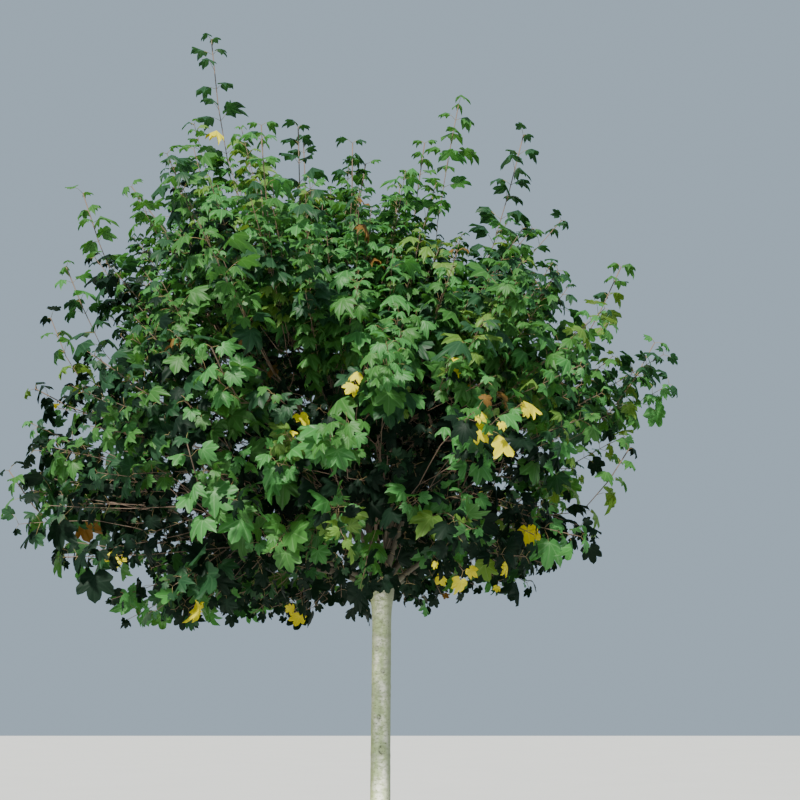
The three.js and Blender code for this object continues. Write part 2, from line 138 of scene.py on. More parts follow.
# Tall shoots that stand clear of the crown: tip and length, the same as the solids'
LEADERS = [
    ((-1.8, -0.1, 2.69), 0.45), ((-1.72, 0, 3.12), 0.43), ((-1.61, -0.2, 3.43), 0.43),
    ((-1.57, -0.1, 3.72), 0.48), ((-1.505, -0.1, 4.11), 0.6), ((-1.3, 0.1, 4.22), 0.48),
    ((-0.87, -0.15, 4.92), 0.76), ((-0.63, 0.1, 4.56), 0.54), ((-0.4, 0, 4.44), 0.46),
    ((-0.07, -0.3, 4.19), 0.42), ((0.23, 0.15, 4.48), 0.52), ((0.395, -0.2, 4.54), 0.62),
    ((0.73, -0.1, 4.42), 0.64), ((0.96, 0, 4.01), 0.48), ((1.19, -0.2, 3.69), 0.48),
    ((1.36, -0.1, 3.33), 0.44), ((1.2, -0.2, 2.78), 0.38),
]
LEADER_FAN = Vector((-0.25, 0, 0.9))
LEADER_TURNS = [1.25, -1.9]
LEADERS_COPIED = slice(1, None, 3)
LEADER_COPY_HEIGHT = 0.95
LEADER_PAIR_STEP = 0.09

# Twigs
TWIG_TIP_RADIUS = 0.0017
LEADER_TIP = 1.8  # times that of other twigs
TWIG_POWER = 0.36
SHOOT_BASE = 1.6
SHOOT_THICKENING = 1.4
TWIG_SHARE = 0.75
TWIG_TAPER = 0.95
TWIG_SINK = 0.6
THICK_TWIG = 0.004
THICK_TWIG_SIDES = 5
THIN_TWIG_SIDES = 4
FORK_REACH = 0.36
STEM_SINK = 0.02
STEM_SIDE = Vector((0.27, -0.31, 0.6))  # no stem runs this way
MIDWAY_NEAR = 0.5625  # the weights that place a point midway on a smooth line through four
MIDWAY_FAR = 0.0625

# Clearances
SPACE_GAP = 0.004
SHOOT_ROOM = 0.025
DRAW_STEP = 0.05
LIMB_GAP = 0.012
LIMB_STEP = 0.02
LEAF_ROOM = 0.3
LEAF_OVERHANG = 0.03

# Leaves. A pair of numbers is two limits, or where a comment says so, a value at the crown's
# underside and what it gains by the top.
LEAF_LENGTH = 0.095  # from the stalk to the tip of the middle lobe
LEAF_PAIR_STEP = 0.058
LEAF_HEIGHTS = (2.2, 1.7)  # the crown's underside, and how far above it the top starts
PAIR_STRAY = (-0.2, 0.2)
LEAF_SIZES = (0.98, -0.29)  # underside and gain
LEAF_LEAST = 0.62
LEAF_SPREAD = 0.75
LEAF_POWER = 3
YOUNG_SIZE = (0.55, 0.2)  # the first pair's, and the gain with each pair
LEADER_LEAF = (0.36, 0.75)  # the least on a tall shoot, and the share of a common leaf's size on top
LEADER_YOUNG_SIZE = (0.8, 0.06)  # the first pair's there, and the gain with each pair
LEADER_LEAF_MOST = 1.1
INNER_LEAF = 0.86

STALK_LENGTH = 0.07
STALK_LENGTHS = (0.75, 1.4)
STALK_LEAN = (0.35, 0.8)
STALK_RISE = 0.15
STALK_BEND = 0.6
STALK_END = 0.45
STALK_RADIUS = 0.0011
STALK_TAPER = (1.2, 1, 0.8)
STALK_SIDES = 3

BLADE_SAG = (-0.1, 0.35)
BLADE_LOW_SAG = (0.3, 1.1)
BLADE_ACROSS = 0.9
BLADE_ALONG = 0.15
BLADE_OUT = (-0.1, 0.4)
FACE_OUT = (0.9, -0.75)  # underside and gain
FACE_UP = (0.65, 0.55)  # underside and gain
FACE_STRAY = (1.0, -0.6)  # underside and gain
FACE_STRAY_UP = 0.4
CURLS = (0.2, 2.2)
TOP_CURLS = (0.4, 1.6)
FOLDS = (-0.3, 0.6)
TOP_FOLDS = (0, 0.4)
TWISTS = (-0.9, 0.9)
WIDTHS = (0.85, 1.12)

# Half of a leaf's rim, from its tip to its root: degrees from the midrib, distance from the root,
# and 1 where a main vein ends
LEAF_RIM = [
    (0, 0.96, 1), (6, 0.9, 0), (13, 0.85, 0), (20, 0.72, 0), (26, 0.59, 0), (33, 0.74, 0),
    (40, 0.86, 0), (46, 0.88, 1), (53, 0.8, 0), (61, 0.74, 0), (69, 0.57, 0), (79, 0.63, 0),
    (90, 0.64, 1), (104, 0.52, 0), (125, 0.42, 0), (150, 0.32, 0), (180, 0.05, 0),
]
LEAF_MIDDLE = 0.25
LEAF_ARCH = 0.05
LEAF_FOLD = 0.02
LEAF_CURL = 0.27
RIM_CURL = (0.6, 0.4)  # between the veins, and what a vein's end adds

# Bark. Old branch scars: height, turn round the trunk from the front, and size
KNOTS = [
    (1.84, -0.5, 0.009), (1.735, 0.15, 0.01), (1.52, -0.2, 0.009), (1.37, 0.15, 0.015),
    (0.82, 0.7, 0.014), (1.1, 2.6, 0.015), (0.55, -1.9, 0.013), (1.66, 2.0, 0.012),
    (1.95, 3.0, 0.011), (0.3, 1.2, 0.014),
]
KNOT_FLATNESS = 0.8
KNOT_RIM = 0.85
KNOT_RIM_SHARPNESS = 2.6
KNOT_EYE = 0.8
KNOT_EYE_SHARPNESS = 3.5
YEAR_RINGS = [1.9, 1.77, 1.62, 1.345, 1.02, 0.66, 0.36]  # where a year's growth began
RING_WIDTH = 0.009
RING_MARK = 0.35
RING_WAVE = 0.004
RING_WAVE_TURNS = 3
RING_WAVE_SLOPE = 40
MARKS_END = 0.2  # below the trunk's top
RIDGES = (24, 4)  # how many to a metre round and up
RIDGE_DEPTH = 0.0012
FURROWS = (90, 20)
FURROW_DEPTH = 0.0006
MARK_DEPTH = 0.0022
RELIEF_FOOT = 0.02
BARK_VOXEL = 0.0045
BARK_SMOOTHING = 0.5
BARK_SMOOTHINGS = 3
HEAD_PART = (2.06, 0.12)  # height at which the brown head, darkened with painted shade, starts, and how much further it is full


def unit(vector):
    return vector.normalized()


def share_of(value, start, width):
    """0 up to the start, 1 from a width further on, and in step between them."""
    return min(max((value - start) / width, 0), 1)


def gained(pair, share):
    start, gain = pair
    return start + gain * share


# Trunk and boughs


def trunk_centre(z):
    return Vector((TRUNK_LEAN * z, -TRUNK_BOW * math.sin(math.pi * z / TRUNK_TOP), z))


def trunk_radius(z):
    taper = TRUNK_TAPER * (1 - z / TRUNK_TOP)
    flare = FLARE_RADIUS * math.exp(-z / FLARE_HEIGHT)
    graft = GRAFT_SWELL * math.exp(-(((z - GRAFT_HEIGHT) / GRAFT_SPREAD) ** 2))
    into_dome = share_of(z, TRUNK_TOP - DOME_HEIGHT, DOME_HEIGHT)
    dome = math.sqrt(1 - DOME_ROUNDING * into_dome**2)
    return (TRUNK_RADIUS + taper + flare + graft) * dome


def mass_middles():
    masses = []
    for ring in RINGS:
        for i in range(ring["count"]):
            angle = 2 * math.pi * i / ring["count"] + ring["turn"]
            x = CROWN_CENTRE.x + ring["radius"] * math.cos(angle)
            y = CROWN_CENTRE.y + ring["radius"] * math.sin(angle)
            z = ring["height"] + ring["tilt"] * (x - CROWN_CENTRE.x)
            name = f"{ring['name']}_{i + 1}"
            masses.append({"ring": ring, "name": name, "middle": Vector((x, y, z)), "shoots": []})
    return masses


MASSES = mass_middles()


def owner_of(point):
    return min(MASSES, key=lambda mass: (mass["middle"] - point).length_squared)


def depth_in_space(point, mass):
    """Distance from a point to the nearest edge of a mass's space, negative outside it."""
    middle = mass["middle"]
    own = (middle - point).length_squared
    return min(
        ((other["middle"] - point).length_squared - own) / (2 * (other["middle"] - middle).length)
        for other in MASSES
        if other is not mass
    )


def bough_line(mass):
    """The centre line of a bough, from inside the graft head to its mass."""
    ring = mass["ring"]
    head = trunk_centre(ring["level"])
    outward = mass["middle"] - head
    outward.z = 0
    outward.normalize()
    start = head + outward * (trunk_radius(ring["level"]) - HEAD_SINK)
    end = head.lerp(mass["middle"], BOUGH_LEAST)
    while depth_in_space(end, mass) < SPACE_ENTRY:
        end = end.lerp(mass["middle"], BOUGH_STEP)
    pull = (end - start).length * BOUGH_PULL
    first = unit(outward + Vector((0, 0, ring["rise"])))
    last = unit(mass["middle"] - end)
    return interpolate_bezier(start, start + first * pull, end - last * pull, end, BOUGH_STEPS + 1)


def bough_radius(mass, share):
    ring = mass["ring"]
    return ring["tip"] + (ring["base"] - ring["tip"]) * (1 - share) ** BOUGH_TAPER


def bough_radii(mass):
    return [bough_radius(mass, i / BOUGH_STEPS) for i in range(BOUGH_STEPS + 1)]


for mass in MASSES:
    mass["bough"] = bough_line(mass)

# Shoots: where the leafy tips stand


def crown_outline(direction):
    half = (
        CROWN_LEFT if direction.x < 0 else CROWN_RIGHT,
        CROWN_DEPTH,
        CROWN_DOWN if direction.z < 0 else CROWN_UP,
    )
    total = sum(abs(d / h) ** CROWN_POWER for d, h in zip(direction, half))
    angle = math.atan2(direction.y, direction.x)
    waves = sum(math.sin(turns * angle + twist * direction.z + start) for turns, twist, start in CROWN_WAVES)
    return total ** (-1 / CROWN_POWER) * (1 + CROWN_LUMP * waves)


def crown_point(direction, reach):
    point = CROWN_CENTRE + direction * reach
    tilt = CROWN_TILT_LOW + (CROWN_TILT_TOP - CROWN_TILT_LOW) * share_of(direction.z, *TILT_CHANGE)
    point.z += tilt * (point.x - CROWN_CENTRE.x)
    return point


def draw_in(point, mass):
    while depth_in_space(point, mass) < SHOOT_ROOM:
        point = point.lerp(mass["middle"], DRAW_STEP)
    return point


def add_shoot(tip, heading, length, **facts):
    """A shoot goes to the mass that owns its tip."""
    mass = owner_of(tip)
    tip = draw_in(tip, mass)
    foot = draw_in(tip - heading * length, mass)
    mass["shoots"].append({"tip": tip, "foot": foot, **facts})


def in_gap(direction, depth, clump, chance):
    """Whether the crown is open here: between clumps in the outer shell, near the top inside."""
    high = share_of(direction.z, *HIGH_PART)
    if depth > 0:
        return chance < OPEN_TOP * (2 * high - 1)
    return clump < gained(CLUMP_GAPS, high) + OPEN_RIGHT * max(direction.x - RIGHT_START, 0)


def low_left_reach(direction):
    if direction.z >= LOW_LEFT_TOP:
        return 0
    return LOW_LEFT_REACH * max(-direction.x - LOW_LEFT_START, 0)


def shoot_heading(direction, tip, slope):
    """Outward and up, swayed by a slow noise so that neighbours differ."""
    rise = Vector((0, 0, SHOOT_RISE * (1 + slope)))
    sway = SHOOT_SWAY * Vector([noise.noise(direction * SWAY_TURNS + start) for start in SWAY_STARTS])
    return unit(unit(tip - CROWN_CENTRE) + rise + sway)


def add_shell_shoot(shell, depth, i, draw):
    """One of a shell's shoots, which stand evenly all round it but for their stray."""
    slope = 1 - 2 * (i + 0.5) / shell["count"]
    stretch = (draw.random() - 0.5) * SHOOT_SPREAD
    length = shell["length"] * draw.uniform(*SHOOT_LENGTHS)
    tall = TALL_SHOOT * draw.random() ** TALL_POWER if depth == 0 else 0
    stray = Vector([draw.gauss(0, SHOOT_STRAY) for _ in range(3)])
    if slope < LOWEST_SLOPE:
        return
    flat = math.sqrt(1 - slope * slope)
    even = Vector((flat * math.cos(GOLDEN_TURN * i), flat * math.sin(GOLDEN_TURN * i), slope))
    direction = unit(even + stray)
    clump = noise.noise(direction * CLUMPS + CLUMP_START)
    if in_gap(direction, depth, clump, draw.random()):
        return
    top = share_of(direction.z, *TOP_PART)
    tall *= top
    reach = crown_outline(direction) - shell["inset"] - TOP_SINK * top + low_left_reach(direction)
    tip = crown_point(direction, reach + stretch + CLUMP_DEPTH * clump)
    heading = shoot_heading(direction, tip, slope)
    step = LEAF_PAIR_STEP * (1 - TOP_CLOSENESS * top)
    pairs = shell["pairs"] + round(top) + int(tall / step)
    add_shoot(tip + heading * tall, heading, length + tall, pairs=pairs, step=step, depth=depth)


def add_shells():
    draw = random.Random(SEED)
    for depth, shell in enumerate(SHELLS):
        for i in range(shell["count"]):
            add_shell_shoot(shell, depth, i, draw)


def add_underside():
    draw = random.Random(SEED + 3)
    low = UNDERSIDE
    for i in range(low["count"]):
        out = low["inner"] + (low["outer"] - low["inner"]) * math.sqrt((i + 0.5) / low["count"])
        outward = Vector((math.cos(GOLDEN_TURN * i), math.sin(GOLDEN_TURN * i), 0))
        tip = trunk_centre(low["level"]) + outward * out
        tip.z += low["tilt"] * tip.x + draw.uniform(*low["scatter"])
        heading = unit(outward * low["spread"] - Vector((0, 0, draw.uniform(*low["hang"]))))
        add_shoot(tip, heading, low["length"], pairs=low["pairs"], step=LEAF_PAIR_STEP, depth=1)


def add_leaders():
    """The tall shoots, then copies of some of them, turned to the crown's other sides."""
    axis = Vector((CROWN_CENTRE.x, CROWN_CENTRE.y, 0))
    for turn in [0, *LEADER_TURNS]:
        for place, length in LEADERS[LEADERS_COPIED] if turn else LEADERS:
            tip = axis + Matrix.Rotation(turn, 3, "Z") @ (Vector(place) - axis)
            if turn:
                tip.z *= LEADER_COPY_HEIGHT
            pairs = int(length / LEADER_PAIR_STEP)
            add_shoot(tip, unit(tip - LEADER_FAN), length, pairs=pairs, step=LEADER_PAIR_STEP, depth=-1)


add_shells()
add_underside()
add_leaders()

# Twigs


def limb_frames(points, side):
    """Along, side and over directions at each point of a limb. They never twist."""
    frames = []
    for i, point in enumerate(points):
        along = unit(points[min(i + 1, len(points) - 1)] - points[max(i - 1, 0)])
        over = unit(along.cross(side))
        side = unit(over.cross(along))
        frames.append((point, along, side, over))
    return frames


def middle_of(shoots):
    return sum((shoot["foot"] for shoot in shoots), Vector()) / len(shoots)


def halves(shoots, fork, along):
    """Splits shoots in two where they spread the most, the half that lies straighter on first."""
    side = unit(along.cross(UP))
    over = unit(side.cross(along))

    def spread(axis):
        reach = [shoot["foot"].dot(axis) for shoot in shoots]
        return max(reach) - min(reach)

    axis = side if spread(side) > spread(over) else over
    ordered = sorted(shoots, key=lambda shoot: shoot["foot"].dot(axis))
    half = (len(ordered) + 1) // 2
    parts = [ordered[:half], ordered[half:]]
    return sorted(parts, key=lambda part: -unit(middle_of(part) - fork).dot(along))


def twig_radius(count):
    return TWIG_TIP_RADIUS * count**TWIG_POWER


def rounded(points, radii):
    """A smooth line through the points, with one more point between each two."""
    line, widths = [points[0]], [radii[0]]
    last = len(points) - 1
    for i in range(last):
        start, end = points[i], points[i + 1]
        before, after = points[max(i - 1, 0)], points[min(i + 2, last)]
        line += [(start + end) * MIDWAY_NEAR - (before + after) * MIDWAY_FAR, end]
        widths += [(radii[i] + radii[i + 1]) / 2, radii[i + 1]]
    return line, widths


def limb_points():
    """Points down the middle of the trunk and each bough, with the radius there."""
    rows = [(*trunk_centre(z), trunk_radius(z)) for z in np.arange(0, TRUNK_TOP, LIMB_STEP)]
    for mass in MASSES:
        rows += [(*point, radius) for point, radius in zip(mass["bough"], bough_radii(mass))]
    return np.array(rows)


LIMB_POINTS = limb_points()


def room_from_limbs(point):
    """Distance from a point to the surface of the nearest limb."""
    return float((np.linalg.norm(LIMB_POINTS[:, :3] - point, axis=1) - LIMB_POINTS[:, 3]).min())


def axis_to_shoot(fork, shoots, stem):
    """One twig from a fork to the tip of a shoot. At each of its forks it goes on towards one half
    of the shoots that are left, and the other half is left for a twig of the next order."""
    point, along, _, parent = fork
    points = [point - along * (0 if stem else parent * TWIG_SINK)]
    radii = [parent if stem else min(twig_radius(len(shoots)), parent * TWIG_SHARE)]
    turnings = []
    while len(shoots) > 1:
        end = point.lerp(middle_of(shoots), FORK_REACH)
        along = unit(along + unit(end - point))
        kept, turned = halves(shoots, end, along)
        points.append(end)
        radii.append(min(radii[-1] * TWIG_TAPER, max(twig_radius(len(shoots)), TWIG_TIP_RADIUS)))
        turnings.append(turned)
        shoots, point = kept, end
    shoot = shoots[0]
    length = (shoot["tip"] - shoot["foot"]).length
    thin = TWIG_TIP_RADIUS * (LEADER_TIP if shoot["depth"] < 0 else 1)
    points += [shoot["foot"], shoot["tip"]]
    radii += [min(radii[-1], thin * (SHOOT_BASE + SHOOT_THICKENING * length)), thin]
    return points, radii, turnings, shoot


def grow_axis(fork, shoots, mass, twigs, stem=False):
    """Adds a twig and those that leave it, unless it would leave its space or touch a limb."""
    points, radii, turnings, shoot = axis_to_shoot(fork, shoots, stem)
    line, widths = rounded(points, radii)
    frames = limb_frames(line, fork[2])
    if any(depth_in_space(point, mass) < SPACE_GAP for point in line):
        return
    if not stem and any(room_from_limbs(point) < 0 for point in line[2:]):
        return
    twigs.append({"line": line, "radii": widths, "frames": frames, "shoot": shoot})
    for i, turned in enumerate(turnings):
        at = 2 * (i + 1)
        grow_axis((*frames[at][:3], widths[at]), turned, mass, twigs)


def mass_twigs(mass):
    """The twigs of one mass, from the stem that goes on from its bough."""
    bough = mass["bough"]
    along = unit(bough[-1] - bough[-2])
    side = unit(along.cross(STEM_SIDE))
    fork = (bough[-1] - along * STEM_SINK, along, side, mass["ring"]["tip"])
    twigs = []
    grow_axis(fork, mass["shoots"], mass, twigs, stem=True)
    return twigs


# Where leaves stand


def point_back(line, distance):
    """The point at a distance back from a line's end, and the direction of the line there."""
    for i in range(len(line) - 1, 0, -1):
        stretch = line[i] - line[i - 1]
        if distance <= stretch.length or i == 1:
            return line[i] - unit(stretch) * distance, unit(stretch)
        distance -= stretch.length


def height_share(point):
    """0 at the crown's underside, 1 near its top."""
    return share_of(point.z, *LEAF_HEIGHTS)


def stalk_facts(root, along, across, outward, size, draw):
    """A stalk's two ends and bend, and the heading of the blade on it."""
    rise = unit(across + along * draw.uniform(*STALK_LEAN) + UP * STALK_RISE)
    stalk = STALK_LENGTH * size * draw.uniform(*STALK_LENGTHS)
    bend = root + rise * stalk * STALK_BEND
    sag = draw.uniform(*BLADE_SAG) + draw.uniform(*BLADE_LOW_SAG) * (1 - height_share(root))
    ahead = across * BLADE_ACROSS + along * BLADE_ALONG + outward * draw.uniform(*BLADE_OUT)
    heading = unit(ahead - UP * sag)
    end = bend + unit(rise + heading) * stalk * STALK_END
    return {"root": root, "bend": bend, "end": end, "heading": heading}


def blade_facts(root, outward, size, draw):
    """Which way a blade faces, its size, and how it curls, folds, twists and spreads."""
    high = height_share(root)
    stray = gained(FACE_STRAY, high)
    aside = [draw.uniform(-stray, stray) for _ in range(2)]
    jitter = Vector((*aside, draw.uniform(-FACE_STRAY_UP, FACE_STRAY_UP)))
    light = outward * gained(FACE_OUT, high) + UP * gained(FACE_UP, high) + jitter
    curl = draw.uniform(*CURLS) + draw.uniform(*TOP_CURLS) * high
    fold = draw.uniform(*FOLDS) + draw.uniform(*TOP_FOLDS) * high
    return {"light": light, "size": LEAF_LENGTH * size, "curl": curl, "fold": fold,
            "twist": draw.uniform(*TWISTS), "width": draw.uniform(*WIDTHS)}


def leaf_size(shoot, pair, root, draw):
    young = min(1, gained(YOUNG_SIZE, pair))
    grown = LEAF_LEAST + LEAF_SPREAD * draw.random() ** LEAF_POWER
    size = young * grown * gained(LEAF_SIZES, height_share(root))
    if shoot["depth"] < 0:
        return gained(LEADER_LEAF, size) * min(LEADER_LEAF_MOST, gained(LEADER_YOUNG_SIZE, pair))
    return size * INNER_LEAF if shoot["depth"] > 0 else size


def leaf_middle(leaf):
    return leaf["end"] + leaf["heading"] * leaf["size"] * 0.5


def shoot_leaves(twig, mass, draw):
    """Opposite pairs of leaves down a shoot, each pair turned a quarter from the last."""
    shoot, line = twig["shoot"], twig["line"]
    outward = unit(shoot["tip"] - CROWN_CENTRE)
    side = twig["frames"][-1][2]
    first = draw.uniform(0, math.pi)
    leaves = []
    for pair in range(shoot["pairs"] + 1):
        stray = draw.uniform(*PAIR_STRAY) if pair else 0
        root, along = point_back(line, shoot["step"] * (pair + stray))
        for opposite in (0, math.pi):
            turn = Matrix.Rotation(first + pair * math.pi / 2 + opposite, 3, along)
            across = turn @ unit(along.cross(side).cross(along))
            size = leaf_size(shoot, pair, root, draw)
            leaf = stalk_facts(root, along, across, outward, size, draw)
            leaf.update(blade_facts(root, outward, size, draw), shoot=shoot)
            middle = leaf_middle(leaf)
            inside = depth_in_space(middle, mass) >= -LEAF_OVERHANG
            if inside and room_from_limbs(middle) >= LIMB_GAP + LEAF_ROOM * leaf["size"]:
                leaves.append(leaf)
    return leaves


def grow_crown():
    draw = random.Random(SEED + 1)
    twigs, leaves = [], []
    for mass in MASSES:
        grown = mass_twigs(mass)
        twigs += grown
        for twig in grown:
            leaves += shoot_leaves(twig, mass, draw)
    return twigs, leaves


twigs, leaves = grow_crown()

# Meshes


def joined_mesh(name, corners, faces, uv=None):
    """One object from an array of corners and an array of faces with the same number of sides."""
    mesh = bpy.data.meshes.new(name)
    count, sides = faces.shape
    mesh.vertices.add(len(corners))
    mesh.vertices.foreach_set("co", np.asarray(corners, dtype=np.float32).ravel())
    mesh.loops.add(count * sides)
    mesh.loops.foreach_set("vertex_index", faces.astype(np.int32).ravel())
    mesh.polygons.add(count)
    mesh.polygons.foreach_set("loop_start", np.arange(count, dtype=np.int32) * sides)
    if uv is not None:
        mesh.uv_layers.new(name="Leaf").uv.foreach_set("vector", np.asarray(uv, dtype=np.float32).ravel())
    mesh.update(calc_edges=True)
    mesh.validate()
    piece = bpy.data.objects.new(name, mesh)
    bpy.context.scene.collection.objects.link(piece)
    return piece


def tube_arrays(line_frames, radii, sides):
    """Corners and faces of one tapering tube. A tube with three sides is closed by one face at each
    end, and any other by a fan of faces round a point."""
    turns = [2 * math.pi * k / sides for k in range(sides)]
    corners = []
    for (point, along, side, over), radius in zip(line_frames, radii):
        corners += [point + (side * math.cos(t) + over * math.sin(t)) * radius for t in turns]
    faces = []
    for ring in range(len(line_frames) - 1):
        for k in range(sides):
            a, b = ring * sides + k, ring * sides + (k + 1) % sides
            faces += [(a, b, b + sides), (a, b + sides, a + sides)]
    top = (len(line_frames) - 1) * sides
    if sides == 3:
        return corners, faces + [(2, 1, 0), (top, top + 1, top + 2)]
    start, tip = len(corners), len(corners) + 1
    corners += [line_frames[0][0], line_frames[-1][0] + line_frames[-1][1] * radii[-1]]
    for k in range(sides):
        faces.append((start, (k + 1) % sides, k))
        faces.append((tip, top + k, top + (k + 1) % sides))
    return corners, faces


def joined_tubes(name, tubes):
    corners, faces = [], []
    for line_frames, radii, sides in tubes:
        made, sheet = tube_arrays(line_frames, radii, sides)
        faces += [[corner + len(corners) for corner in face] for face in sheet]
        corners += made
    return joined_mesh(name, np.array(corners), np.array(faces))


def deselect_all():
    bpy.ops.object.select_all(action="DESELECT")


def leaf_form():
    """One leaf, made as a fan of faces round the crest of its arched blade."""
    rim = LEAF_RIM + [(-angle, reach, vein) for angle, reach, vein in LEAF_RIM[-2:0:-1]]
    deselect_all()
    bpy.ops.mesh.primitive_circle_add(vertices=len(rim), radius=1, fill_type="TRIFAN")
    leaf = bpy.context.object
    crest, *edge = sorted(leaf.data.vertices, key=lambda corner: corner.co.length)
    edge.sort(key=lambda corner: math.atan2(corner.co.x, corner.co.y) % (2 * math.pi))
    crest.co = (0, LEAF_MIDDLE, LEAF_ARCH)
    for corner, (angle, reach, vein) in zip(edge, rim):
        turn = math.radians(angle)
        fold = 0 if vein else LEAF_FOLD
        curl = LEAF_CURL * reach * reach * gained(RIM_CURL, vein)
        corner.co = (reach * math.sin(turn), reach * math.cos(turn), fold - curl)
    form = np.array([corner.co[:] for corner in leaf.data.vertices])
    faces = np.array([face.vertices[:] for face in leaf.data.polygons])
    bpy.data.objects.remove(leaf)
    return form, faces


LEAF_CORNERS, LEAF_FACES = leaf_form()


def joined_leaves(name, rows):
    """Copies of the one leaf, each with its own place, size, turn and curl."""

    def each(key, *shape):
        return np.array([row[key] for row in rows]).reshape(-1, *shape)

    heading, light = each("heading", 3), each("light", 3)
    across = np.cross(heading, light)
    across /= np.linalg.norm(across, axis=1)[:, None]
    face = np.cross(across, heading)
    x, y, z = LEAF_CORNERS.T
    raised = z * each("curl", 1) - abs(x) * each("fold", 1) + x * y * each("twist", 1)
    corners = (
        across[:, None, :] * x[None, :, None] * each("width", 1, 1)
        + heading[:, None, :] * y[None, :, None]
        + face[:, None, :] * raised[:, :, None]
    ) * each("size", 1, 1) + each("end", 1, 3)
    steps = np.arange(len(rows))[:, None, None] * len(LEAF_CORNERS)
    faces = (LEAF_FACES[None] + steps).reshape(-1, 3)
    uv = np.tile(LEAF_CORNERS[LEAF_FACES.ravel(), :2], (len(rows), 1))
    return joined_mesh(name, corners.reshape(-1, 3), faces, uv)


# Finishes


class Value:
    """A number, colour or vector that nodes work out, used in plain sums."""

    def __init__(self, finish, socket):
        self.finish = finish
        self.socket = socket

    def maths(self, operation, *others):
        inputs = dict(enumerate((self, *others)))
        return self.finish.node("ShaderNodeMath", {"operation": operation}, inputs)

    def __add__(self, other):
        return self.maths("ADD", other)

    def __radd__(self, other):
        return self.maths("ADD", other)

    def __sub__(self, other):
        return self.maths("SUBTRACT", other)

    def __rsub__(self, other):
        return self.finish.node("ShaderNodeMath", {"operation": "SUBTRACT"}, {0: other, 1: self})

    def __mul__(self, other):
        return self.maths("MULTIPLY", other)

    def __rmul__(self, other):
        return self.maths("MULTIPLY", other)


class Finish:
    """A material with its nodes."""

    def __init__(self, name):
        self.material = bpy.data.materials.new(name)
        self.material.use_nodes = True
        self.tree = self.material.node_tree
        self.tree.nodes.clear()

    def node(self, kind, settings=None, inputs=None, output=0):
        """A node, its settings first, then the values or links of its inputs."""
        made = self.tree.nodes.new(kind)
        for key, value in (settings or {}).items():
            if key == "stops":
                self.set_stops(made.color_ramp, value)
            else:
                setattr(made, key, value)
        for key, value in (inputs or {}).items():
            if isinstance(value, Value):
                self.tree.links.new(value.socket, made.inputs[key])
            else:
                made.inputs[key].default_value = value
        return Value(self, made.outputs[output]) if made.outputs else made

    @staticmethod
    def set_stops(ramp, stops):
        while len(ramp.elements) < len(stops):
            ramp.elements.new(1)
        for element, (place, level) in zip(ramp.elements, stops):
            element.position = place
            element.color = (level, level, level, 1)

    def place(self):
        return self.node("ShaderNodeTexCoord", output="Object")

    def part(self, vector, axis):
        return self.node("ShaderNodeSeparateXYZ", None, {"Vector": vector}, axis)

    def mark(self, name):
        """A number that the mesh gives at each corner."""
        return self.node("ShaderNodeAttribute", {"attribute_name": name}, None, "Fac")

    def stretched(self, vector, scale):
        return self.node("ShaderNodeMapping", None, {"Vector": vector, "Scale": scale})

    def noise(self, vector, scale=1.0, detail=3.0, roughness=0.55):
        inputs = {"Vector": vector, "Scale": scale, "Detail": detail, "Roughness": roughness}
        return self.node("ShaderNodeTexNoise", None, inputs)

    def ramp(self, value, stops):
        return self.node("ShaderNodeValToRGB", {"stops": stops}, {"Fac": value})

    def mix(self, share, first, second):
        """A colour between two. Inputs 6 and 7 and output 2 are the node's colours."""
        inputs = {0: share, 6: first, 7: second}
        return self.node("ShaderNodeMix", {"data_type": "RGBA"}, inputs, 2)

    def bump(self, height, distance, strength):
        inputs = {"Height": height, "Distance": distance, "Strength": strength}
        return self.node("ShaderNodeBump", None, inputs)

    def skin(self, base, roughness, normal=None, shine=0.5):
        inputs = {"Base Color": base, "Roughness": roughness, "Specular IOR Level": shine}
        if normal:
            inputs["Normal"] = normal
        return self.node("ShaderNodeBsdfPrincipled", None, inputs)

    def surface(self, shader):
        self.node("ShaderNodeOutputMaterial", None, {"Surface": shader})
        return self.material


def colour(red, green, blue):
    """A colour as a screen shows it, 0 to 255, in the shader's own numbers."""

    def linear(level):
        level /= 255
        return level / 12.92 if level <= 0.04045 else ((level + 0.055) / 1.055) ** 2.4

    return (linear(red), linear(green), linear(blue), 1)


def toned(shade, tone):
    return (*(min(1, tone * level) for level in shade[:3]), 1)


# Leaf blades: colour, veins, the light that comes through, and shine
KINDS = {
    # The shade blade is near black: painted shade for the leaves inside and under the crown
    "shade": (colour(20, 38, 27), colour(38, 58, 44), colour(18, 38, 18), 0.1),
    "deep": (colour(34, 68, 42), colour(76, 112, 78), colour(50, 100, 40), 0.26),
    "green": (colour(56, 102, 46), colour(110, 150, 96), colour(84, 144, 50), 0.25),
    "cool": (colour(60, 116, 58), colour(126, 170, 116), colour(84, 152, 60), 0.3),
    "fresh": (colour(84, 120, 48), colour(142, 170, 98), colour(118, 152, 50), 0.3),
    "yellow": (colour(214, 204, 44), colour(232, 226, 120), colour(230, 212, 30), 0.2),
    "russet": (colour(108, 82, 38), colour(146, 120, 66), colour(134, 90, 28), 0.2),
}
VEIN_ENDS = (0, 46, 91)  # degrees from the midrib
VEIN_SHARE = 0.35
PATCH_SCALE = 9.0
PATCH_TONES = (0.72, 1.3)
QUILT_HEIGHT = 0.001
QUILT_STRENGTH = 0.5
LEAF_ROUGHNESS = 0.5
SEE_THROUGH = 0.28

